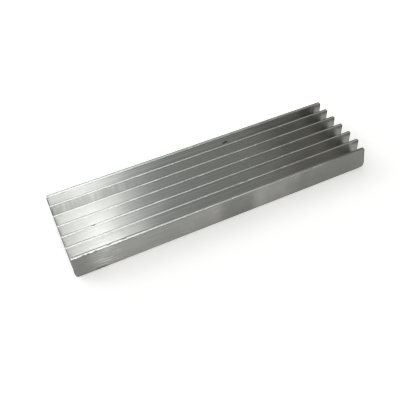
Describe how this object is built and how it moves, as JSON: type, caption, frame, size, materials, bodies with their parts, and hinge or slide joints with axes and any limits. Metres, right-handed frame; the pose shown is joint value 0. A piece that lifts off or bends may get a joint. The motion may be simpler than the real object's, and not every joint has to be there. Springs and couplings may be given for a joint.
{
  "type": "heat sink",
  "caption": "Extruded aluminium heat sink: a flat base plate with a row of straight, tapered fins along its length, to carry heat away from a module bonded to its underside.",
  "frame": {"origin": "middle of the flat mounting face under the base plate", "axes": "+X along the fins, +Y across the fins, +Z from the mounting face to the fin tips"},
  "size_m": [0.1, 0.028, 0.009],
  "materials": {
    "mill_aluminium": "bare mill finish with fine lengthwise drawing lines, sawn and deburred ends"
  },
  "bodies": {
    "root": {"heat_sink": "mill_aluminium"}
  },
  "joints": []
}
